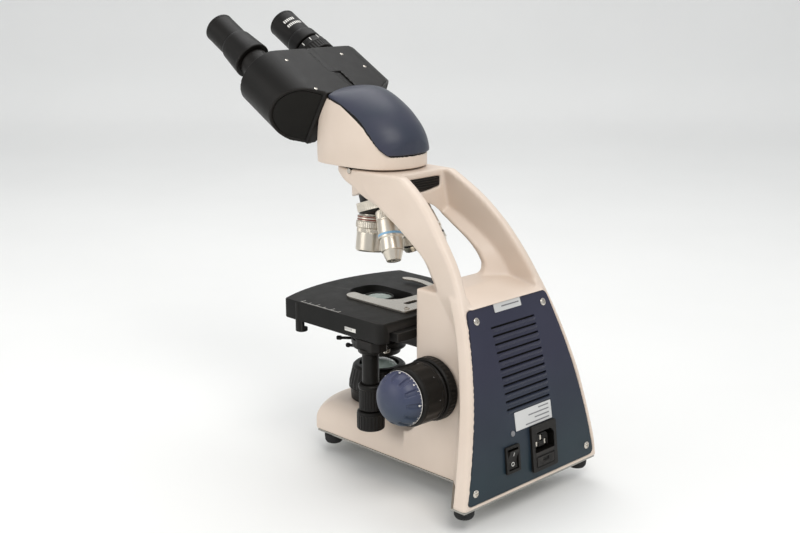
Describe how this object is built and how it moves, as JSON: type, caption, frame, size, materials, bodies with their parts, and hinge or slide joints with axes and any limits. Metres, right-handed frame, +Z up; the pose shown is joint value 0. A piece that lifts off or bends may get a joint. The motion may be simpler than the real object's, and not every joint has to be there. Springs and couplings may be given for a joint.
{
  "type": "compound microscope",
  "caption": "Binocular compound microscope: ivory two-rib stand with slate rear panel, folding eyepiece head, objective turret, mechanical stage, condenser and built-in lamp.",
  "frame": {"origin": "on the table under the middle of the bounding box", "axes": "+Z up; +Y towards the rear mains panel; -Y towards the user; +X to the right of a user at the eyepieces"},
  "size_m": [0.1968, 0.3567, 0.3701],
  "materials": {
    "ivory_paint": "satin ivory enamel",
    "slate_panel": "satin slate blue enamel",
    "slate_cover": "satin slate blue",
    "knob_blue": "satin blue",
    "black_plastic": "satin black",
    "black_alloy": "black anodised",
    "plate_steel": "zinc plated",
    "bright_steel": "ground and polished",
    "brass_gear": "cut brass",
    "satin_chrome": "satin chrome",
    "lens_glass": "polished",
    "foot_rubber": "moulded",
    "circuit_board": "circuit board with components",
    "lamp_module": "turned"
  },
  "bodies": {
    "stand": {"base_casting": "ivory_paint", "arm_casting": "ivory_paint", "bottom_plate": "plate_steel", "foot_front_right": "foot_rubber", "foot_rear_right": "foot_rubber", "foot_front_left": "foot_rubber", "foot_rear_left": "foot_rubber", "handle_insert": "black_plastic", "head_lock_screw": "bright_steel", "rear_panel": "slate_panel", "switch_bezel": "black_plastic", "inlet_housing": "black_plastic", "power_board": "circuit_board", "lamp": "lamp_module", "illuminator_housing": "black_plastic", "field_lens": "lens_glass", "left_focus_collar": "black_plastic", "nosepiece_plate": "black_alloy"},
    "power_rocker": {"switch_rocker": "black_plastic"},
    "fuse_holder": {"fuse_drawer": "black_plastic"},
    "brightness_control": {"brightness_dial": "black_plastic"},
    "tension_control": {"tension_ring": "black_plastic"},
    "coarse_drive": {"coarse_shaft": "bright_steel", "focus_pinion": "brass_gear", "coarse_knob_right": "black_plastic", "coarse_knob_left": "black_plastic"},
    "fine_drive": {"fine_knob_right": "knob_blue", "fine_knob_left": "knob_blue", "fine_shaft": "bright_steel"},
    "focus_block": {"stage_carrier": "black_alloy", "focus_rack": "bright_steel", "stage_bed": "black_alloy"},
    "stage_table": {"stage_plate": "black_alloy", "stage_control_bracket": "black_plastic"},
    "stage_y_control": {"stage_y_knob": "black_plastic"},
    "stage_x_control": {"stage_x_knob": "black_plastic"},
    "slide_carriage": {"slide_holder": "bright_steel"},
    "slide_finger": {"holder_finger": "bright_steel"},
    "condenser_carrier": {"condenser_mount": "black_alloy", "condenser_barrel": "black_alloy", "condenser_lens": "lens_glass"},
    "condenser_control": {"condenser_knob": "black_plastic"},
    "iris_control": {"iris_lever": "black_plastic"},
    "filter_arm": {"filter_holder": "black_plastic"},
    "turret": {"turret_ring": "satin_chrome", "turret_cone": "black_alloy", "objective_4x": "satin_chrome", "objective_40x": "satin_chrome", "objective_100x": "satin_chrome", "objective_10x": "satin_chrome"},
    "viewing_head": {"head_body": "ivory_paint", "head_cover": "slate_cover", "hinge_tube": "bright_steel"},
    "right_tube": {"right_prism_housing": "black_alloy", "right_eyetube": "black_alloy", "right_eyepiece": "black_plastic"},
    "left_tube": {"left_prism_housing": "black_alloy", "left_eyetube": "black_alloy"},
    "left_ocular": {"left_eyepiece": "black_plastic"},
    "diopter_control": {"diopter_ring": "black_plastic"}
  },
  "joints": [
    {"name": "head_rotation", "type": "hinge", "parent": "stand", "child": "viewing_head", "pos_m": [0, -0.00239, 0.247], "axis": [0, 0, 1], "continuous": true},
    {"name": "right_interpupillary", "type": "hinge", "parent": "viewing_head", "child": "right_tube", "pos_m": [0, -0.04269, 0.2839], "axis": [0, -0.866, 0.5], "range_deg": [-42, 0]},
    {"name": "left_interpupillary", "type": "hinge", "parent": "viewing_head", "child": "left_tube", "pos_m": [0, -0.04269, 0.2839], "axis": [0, -0.866, 0.5], "range_deg": [0, 42]},
    {"name": "left_eyepiece_focus", "type": "slide", "parent": "left_tube", "child": "left_ocular", "axis": [0, -0.866, 0.5], "range_m": [-0.0022, 0.0022]},
    {"name": "diopter_turn", "type": "hinge", "parent": "left_tube", "child": "diopter_control", "pos_m": [-0.038, -0.04269, 0.2839], "axis": [0, -0.866, 0.5], "range_deg": [-120, 120]},
    {"name": "nosepiece_turn", "type": "hinge", "parent": "stand", "child": "turret", "pos_m": [0, 0.01661, 0.21], "axis": [0, 0.3007, -0.9537], "continuous": true},
    {"name": "focus_travel", "type": "slide", "parent": "stand", "child": "focus_block", "axis": [0, 0, 1], "range_m": [0, 0.0238]},
    {"name": "coarse_focus", "type": "hinge", "parent": "stand", "child": "coarse_drive", "pos_m": [0, 0.10761, 0.085], "axis": [1, 0, 0], "range_deg": [-219, 0]},
    {"name": "fine_focus", "type": "hinge", "parent": "coarse_drive", "child": "fine_drive", "pos_m": [0, 0.10761, 0.085], "axis": [1, 0, 0], "continuous": true},
    {"name": "tension_turn", "type": "hinge", "parent": "stand", "child": "tension_control", "pos_m": [0.05, 0.10761, 0.085], "axis": [1, 0, 0], "range_deg": [0, 90]},
    {"name": "stage_y", "type": "slide", "parent": "focus_block", "child": "stage_table", "axis": [0, 1, 0], "range_m": [-0.016, 0.01]},
    {"name": "stage_y_turn", "type": "hinge", "parent": "stage_table", "child": "stage_y_control", "pos_m": [0.062, 0.0516, 0.068], "axis": [0, 0, 1], "range_deg": [-192, 120]},
    {"name": "stage_x", "type": "slide", "parent": "stage_table", "child": "slide_carriage", "axis": [1, 0, 0], "range_m": [-0.028, 0.028]},
    {"name": "stage_x_turn", "type": "hinge", "parent": "stage_table", "child": "stage_x_control", "pos_m": [0.062, 0.0516, 0.048], "axis": [0, 0, 1], "range_deg": [-336, 336]},
    {"name": "finger_open", "type": "hinge", "parent": "slide_carriage", "child": "slide_finger", "pos_m": [-0.028, 0.0446, 0.137], "axis": [0, 0, 1], "range_deg": [-25, 0], "stiffness_Nm_per_rad": 0.02, "springref_deg": 11.46},
    {"name": "condenser_travel", "type": "slide", "parent": "focus_block", "child": "condenser_carrier", "axis": [0, 0, 1], "range_m": [-0.006, 0]},
    {"name": "condenser_turn", "type": "hinge", "parent": "condenser_carrier", "child": "condenser_control", "pos_m": [-0.018, 0.0516, 0.1035], "axis": [1, 0, 0], "range_deg": [-69, 0]},
    {"name": "iris_turn", "type": "hinge", "parent": "condenser_carrier", "child": "iris_control", "pos_m": [0, -0.00239, 0.0915], "axis": [0, 0, 1], "range_deg": [-25, 25]},
    {"name": "filter_swing", "type": "hinge", "parent": "condenser_carrier", "child": "filter_arm", "pos_m": [-0.0222, -0.00239, 0.083], "axis": [0, 0, 1], "range_deg": [-60, 0]},
    {"name": "switch_press", "type": "hinge", "parent": "stand", "child": "power_rocker", "pos_m": [0.026, 0.17396, 0.03756], "axis": [1, 0, 0], "range_deg": [0, 16]},
    {"name": "fuse_pull", "type": "slide", "parent": "stand", "child": "fuse_holder", "axis": [0, 0.9942, 0.108], "range_m": [0, 0.012]},
    {"name": "brightness_turn", "type": "hinge", "parent": "stand", "child": "brightness_control", "pos_m": [-0.05, 0.05561, 0.026], "axis": [1, 0, 0], "range_deg": [0, 270]}
  ],
  "couplings": [
    {"joint": "left_interpupillary", "follows": "right_interpupillary", "ratio": -1},
    {"joint": "diopter_turn", "follows": "left_eyepiece_focus", "rad_per_m": 952},
    {"joint": "coarse_focus", "follows": "focus_travel", "rad_per_m": -160.3},
    {"joint": "stage_y_turn", "follows": "stage_y", "rad_per_m": 209},
    {"joint": "stage_x_turn", "follows": "stage_x", "rad_per_m": 209},
    {"joint": "condenser_turn", "follows": "condenser_travel", "rad_per_m": 200}
  ]
}
